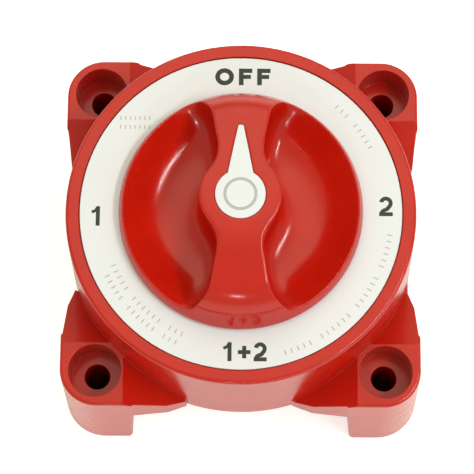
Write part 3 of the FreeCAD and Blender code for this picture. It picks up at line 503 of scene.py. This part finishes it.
def make_knob(materials):
    """The knob with every edge softly moulded, and a crisp seat for the pointer."""
    plug = prism(pointer_outline(PLUG_GROW), KNOB_TOP - PLUG_DEPTH, KNOB_TOP - PLUG_SUNK, follow=1.0)
    plug_mesh = bpy.data.meshes.new("plug")
    plug.to_mesh(plug_mesh)
    mesh = join_meshes("moulded_knob", [NODES["knob"].data, plug_mesh])
    knob = finish_piece("moulded_knob", mesh, "rotor", materials["red_plastic"])
    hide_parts("knob")
    remesh = knob.modifiers.new("remesh", "REMESH")
    remesh.mode = "VOXEL"
    remesh.voxel_size = VOXEL
    mesh = modified(knob)
    soften(mesh, lambda places: np.ones(len(places)), EDGE_PASSES)
    soften(mesh, in_scoop, SCOOP_PASSES)
    seat = prism(pointer_outline(SEAT_GROW), KNOB_TOP - SEAT_DEPTH, KNOB_TOP + SEAT_ABOVE)
    seat_mesh = bpy.data.meshes.new("seat")
    seat.to_mesh(seat_mesh)
    cutter = bpy.data.objects.new("seat", seat_mesh)
    bpy.context.scene.collection.objects.link(cutter)
    cut = knob.modifiers.new("seat", "BOOLEAN")
    cut.operation = "DIFFERENCE"
    cut.object = cutter
    baked = modified(knob)
    baked.name = "moulded_knob"
    baked.materials.clear()
    baked.materials.append(materials["red_plastic"])
    baked.shade_smooth()
    bpy.data.objects.remove(cutter)


# ------------------------------------------------------------------ dial printing

PRINT_LIFT = 0.015 * MM
LAYER_LIFT = 0.006 * MM
BOLD = 1.24 * MM
STROKE = 1.03 * MM
MITRE_LIMIT = 0.35

# rows of dashes: stroke and pitch in millimetres, and which dash of each group is left out
DASH_STROKE = 0.3
DASH_PITCH = 1.7
DASH_GROUP, DASH_GAP = 7, 5
# curved rows: radius, first angle, last angle and dash height
FINE_ROWS = [(37.6, 26.0, 50.0, 1.3), (35.7, 203.0, 247.0, 1.3), (38.3, 206.0, 246.0, 1.3),
             (38.9, 286.0, 352.0, 1.3)]
# the two straight rows: first dash, pitches along and between the rows, half height and stroke
BLOCK_START = (-31.5, 24.9)
BLOCK_PITCH = (1.25, 2.4)
BLOCK_DASHES, BLOCK_ROWS = 7, 2
BLOCK_HALF = 0.5
BLOCK_STROKE = 0.28

PIVOT_RADIUS = 3.9 * MM
PIVOT_STROKE = 0.75 * MM
PIVOT_SUNK = 0.001 * MM
PIVOT_STEPS = 60


def arc_points(centre, radii, start, end, steps=18):
    """Points along an ellipse's arc, by angle in degrees."""
    points = []
    for i in range(steps + 1):
        angle = math.radians(start + (end - start) * i / steps)
        points.append(Vector((centre[0] + radii[0] * math.cos(angle),
                              centre[1] + radii[1] * math.sin(angle))))
    return points


def ribbon(work, points, width, closed=False, layer=0):
    """A flat stroke of even width along a line of points, with mitred joins."""
    height = DIAL_TOP + PRINT_LIFT + layer * LAYER_LIFT
    count = len(points)
    sides = ([], [])
    for i, point in enumerate(points):
        before = points[i - 1] if i or closed else None
        after = points[(i + 1) % count] if i + 1 < count or closed else None
        into = (point - before).normalized() if before is not None else None
        out = (after - point).normalized() if after is not None else None
        into, out = into or out, out or into
        along = (into + out).normalized()
        aside = Vector((-along.y, along.x))
        reach = width / 2 / max(MITRE_LIMIT, aside.dot(Vector((-into.y, into.x))))
        for side, sign in zip(sides, (1, -1)):
            spot = point + aside * reach * sign
            side.append(work.verts.new((spot.x, spot.y, height)))
    for i in range(count if closed else count - 1):
        j = (i + 1) % count
        work.faces.new((sides[0][i], sides[1][i], sides[1][j], sides[0][j]))


# A glyph's function returns its strokes, each as points, a width and whether it is closed. The
# points lie in a box of the glyph's size about the origin, as shares of the box and the stroke.

def letter_o(size, stroke):
    half = Vector(size) / 2 - Vector((stroke, stroke)) / 2
    return [(arc_points((0, 0), half, 0, 350, 35), stroke, True)]


def letter_f(size, stroke):
    left, top = -size[0] / 2, size[1] / 2
    stem = left + stroke / 2
    return [
        ([Vector((stem, -top)), Vector((stem, top))], stroke, False),
        ([Vector((left, top - stroke / 2)), Vector((-left, top - stroke / 2))], stroke * 0.95, False),
        ([Vector((left, 0.0)), Vector((-left * 0.8, 0.0))], stroke * 0.9, False),
    ]


def digit_one(size, stroke):
    right, top = size[0] / 2, size[1] / 2
    stem = right - stroke / 2
    flag = [Vector((-right, top - stroke * 1.55)), Vector((-right * 0.1, top - stroke * 1.15)),
            Vector((stem - stroke * 0.1, top - stroke * 0.35))]
    return [([Vector((stem, -top)), Vector((stem, top))], stroke, False),
            (flag, stroke * 0.75, False)]


def digit_two(size, stroke):
    half, top = size[0] / 2, size[1] / 2
    bowl = half - stroke / 2
    crown = top - stroke / 2 - bowl
    curve = arc_points((0, crown), (bowl, bowl), 168, -35, 22)
    curve += [Vector((bowl * 0.25, -top * 0.28)), Vector((-bowl * 0.62, -top + stroke * 1.35)),
              Vector((-bowl * 0.95, -top + stroke * 0.75))]
    foot = [Vector((-half, -top + stroke / 2)), Vector((half, -top + stroke / 2))]
    return [(curve, stroke, False), (foot, stroke, False)]


def plus_sign(size, stroke):
    half = size[0] / 2
    return [([Vector((-half, 0)), Vector((half, 0))], stroke, False),
            ([Vector((0, -half)), Vector((0, half))], stroke, False)]


# each glyph with its centre and its size in millimetres
LEGENDS = {
    "legend_off": [
        (letter_o, (-4.55, 36.4), (4.9, 4.7)),
        (letter_f, (0.95, 36.4), (3.5, 4.6)),
        (letter_f, (5.75, 36.4), (3.5, 4.6)),
    ],
    "legend_one": [(digit_one, (-37.4, -1.6), (2.1, 5.2))],
    "legend_two": [(digit_two, (37.4, 1.4), (3.5, 5.2))],
    "legend_both": [
        (digit_one, (-3.1, -37.0), (2.1, 4.9)),
        (plus_sign, (1.15, -37.1), (3.2, 3.2)),
        (digit_two, (5.2, -37.0), (3.3, 4.9)),
    ],
}


def make_legends(materials):
    """The dial's four position marks."""
    for name, glyphs in LEGENDS.items():
        work = bmesh.new()
        for glyph, place, size in glyphs:
            offset = Vector(place) * MM
            strokes = glyph(Vector(size) * MM, BOLD if name == "legend_off" else STROKE)
            for layer, (points, width, closed) in enumerate(strokes):
                ribbon(work, [p + offset for p in points], width, closed, layer)
        mesh = bpy.data.meshes.new(name)
        work.to_mesh(mesh)
        work.free()
        finish_piece(name, mesh, "case", materials["ink_dark"])


def make_fine_rows(materials):
    """Faint rows of unreadable dashes where the dial has its small print."""
    work = bmesh.new()
    for radius, first, last, height in FINE_ROWS:
        count = round(math.radians(last - first) * radius / DASH_PITCH)
        for i in range(count):
            if i % DASH_GROUP == DASH_GAP:
                continue
            angle = math.radians(first + (last - first) * (i + 0.5) / count)
            out = Vector((math.cos(angle), math.sin(angle)))
            ends = [out * (radius + shift * height) * MM for shift in (-0.5, 0.5)]
            ribbon(work, ends, DASH_STROKE * MM)
    for row in range(BLOCK_ROWS):
        for i in range(BLOCK_DASHES):
            x = BLOCK_START[0] + BLOCK_PITCH[0] * i
            y = BLOCK_START[1] - BLOCK_PITCH[1] * row
            ends = [Vector((x, y + side * BLOCK_HALF)) * MM for side in (-1, 1)]
            ribbon(work, ends, BLOCK_STROKE * MM)
    mesh = bpy.data.meshes.new("fine_print")
    work.to_mesh(mesh)
    work.free()
    finish_piece("fine_print", mesh, "case", materials["ink_pale"])


def make_pivot_mark(materials):
    """A plain grey ring printed on the pointer's disc."""
    work = bmesh.new()
    last = 360 - 360 / PIVOT_STEPS
    circle = arc_points((0, 0), (PIVOT_RADIUS, PIVOT_RADIUS), 0, last, PIVOT_STEPS - 1)
    ribbon(work, circle, PIVOT_STROKE, closed=True)
    for vert in work.verts:
        vert.co.z = KNOB_TOP - PIVOT_SUNK
    mesh = bpy.data.meshes.new("pivot_mark")
    work.to_mesh(mesh)
    work.free()
    finish_piece("pivot_mark", mesh, "rotor", materials["ink_pale"])


# ------------------------------------------------------------------ the scene

make_camera()
make_studio()
make_floor()
MATERIALS = make_materials()
dress_nodes(MATERIALS)
make_knob(MATERIALS)
make_legends(MATERIALS)
make_fine_rows(MATERIALS)
make_pivot_mark(MATERIALS)
